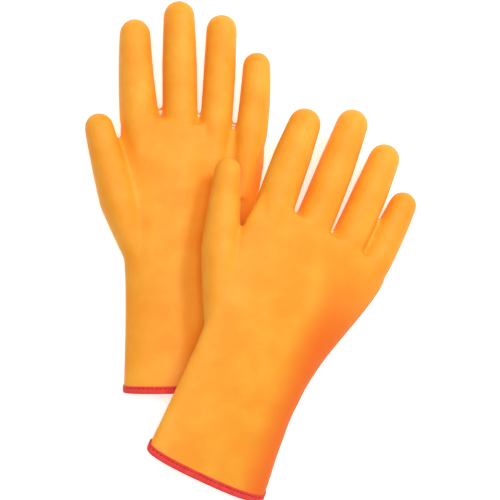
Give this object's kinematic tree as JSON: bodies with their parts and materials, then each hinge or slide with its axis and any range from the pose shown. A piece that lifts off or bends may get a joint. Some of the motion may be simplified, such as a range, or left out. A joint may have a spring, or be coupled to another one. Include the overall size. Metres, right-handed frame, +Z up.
{
  "type": "cryogenic gloves",
  "caption": "Pair of insulated, PVC-coated gauntlet gloves with smooth seamless hands and red bound cuffs, one lying palm up and the other resting on it palm down.",
  "frame": {"origin": "on the surface the pair lies on, under the middle of the pair", "axes": "+Z up from the surface, +Y from the left glove's hem towards its fingertips, +X across the hands"},
  "size_m": [0.2565, 0.388, 0.0613],
  "materials": {
    "pvc": "satin dipped PVC, smooth",
    "foam": "open-cell foam on a knit",
    "lining": "brushed knit",
    "binding_tape": "ribbed woven tape",
    "thread": "spun polyester thread"
  },
  "bodies": {
    "left_glove": {"left_pvc_shell": "pvc", "left_foam_palm": "foam", "left_foam_back": "foam", "left_foam_thumb": "foam", "left_lining_palm": "lining", "left_lining_back": "lining", "left_lining_thumb": "lining", "left_cuff_binding": "binding_tape", "left_binding_stitches": "thread"},
    "right_glove": {"right_pvc_shell": "pvc", "right_foam_palm": "foam", "right_foam_back": "foam", "right_foam_thumb": "foam", "right_lining_palm": "lining", "right_lining_back": "lining", "right_lining_thumb": "lining", "right_cuff_binding": "binding_tape", "right_binding_stitches": "thread"}
  },
  "joints": [
    {"name": "right_glove_lift", "type": "slide", "parent": "left_glove", "child": "right_glove", "axis": [0, 0, 1], "range_m": [0, 0.12]}
  ]
}
